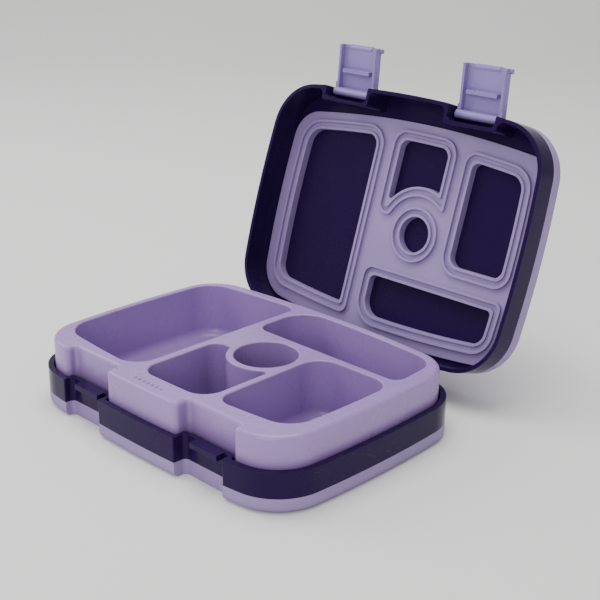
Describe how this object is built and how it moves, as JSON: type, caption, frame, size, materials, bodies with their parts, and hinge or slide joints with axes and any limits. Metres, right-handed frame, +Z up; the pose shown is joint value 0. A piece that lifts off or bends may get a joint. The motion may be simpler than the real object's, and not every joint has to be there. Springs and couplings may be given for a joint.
{
  "type": "bento lunch box",
  "caption": "Shallow rounded lunch box with a soft boot, hinged lid, lid seal, lift-out tray with wells and snap latches.",
  "frame": {"origin": "centre of the base's flat underside, midway between its sides and between its front and its back wall", "axes": "+Z up out of the open base, +Y from the latches towards the hinge, +X to the right along the hinge"},
  "size_m": [0.216, 0.244, 0.1916],
  "materials": {
    "dark_plastic": "glossy dark violet ABS",
    "boot_rubber": "soft-touch lavender elastomer",
    "tray_plastic": "satin lavender polypropylene",
    "seal_silicone": "matte lavender silicone",
    "latch_plastic": "satin lavender ABS",
    "steel": "plain drawn wire"
  },
  "bodies": {
    "base": {"base_shell": "dark_plastic", "base_boot": "boot_rubber", "hinge_pin_left": "steel", "hinge_pin_right": "steel"},
    "tray": {"food_tray": "tray_plastic"},
    "lid": {"lid_shell": "dark_plastic", "lid_boot": "boot_rubber", "lid_seal": "seal_silicone", "latch_pin_left": "steel", "latch_pin_right": "steel"},
    "latch_left": {"latch_left": "latch_plastic"},
    "latch_right": {"latch_right": "latch_plastic"}
  },
  "joints": [
    {"name": "lid_hinge", "type": "hinge", "parent": "base", "child": "lid", "pos_m": [0, 0.0834, 0.0163], "axis": [1, 0, 0], "range_deg": [0, 108]},
    {"name": "latch_left_hinge", "type": "hinge", "parent": "lid", "child": "latch_left", "pos_m": [-0.05, 0.14744, 0.16131], "axis": [1, 0, 0], "range_deg": [0, 77]},
    {"name": "latch_right_hinge", "type": "hinge", "parent": "lid", "child": "latch_right", "pos_m": [0.05, 0.14744, 0.16131], "axis": [1, 0, 0], "range_deg": [0, 77]},
    {"name": "tray_lift", "type": "slide", "parent": "base", "child": "tray", "axis": [0, 0, 1], "range_m": [0, 0.06]}
  ]
}
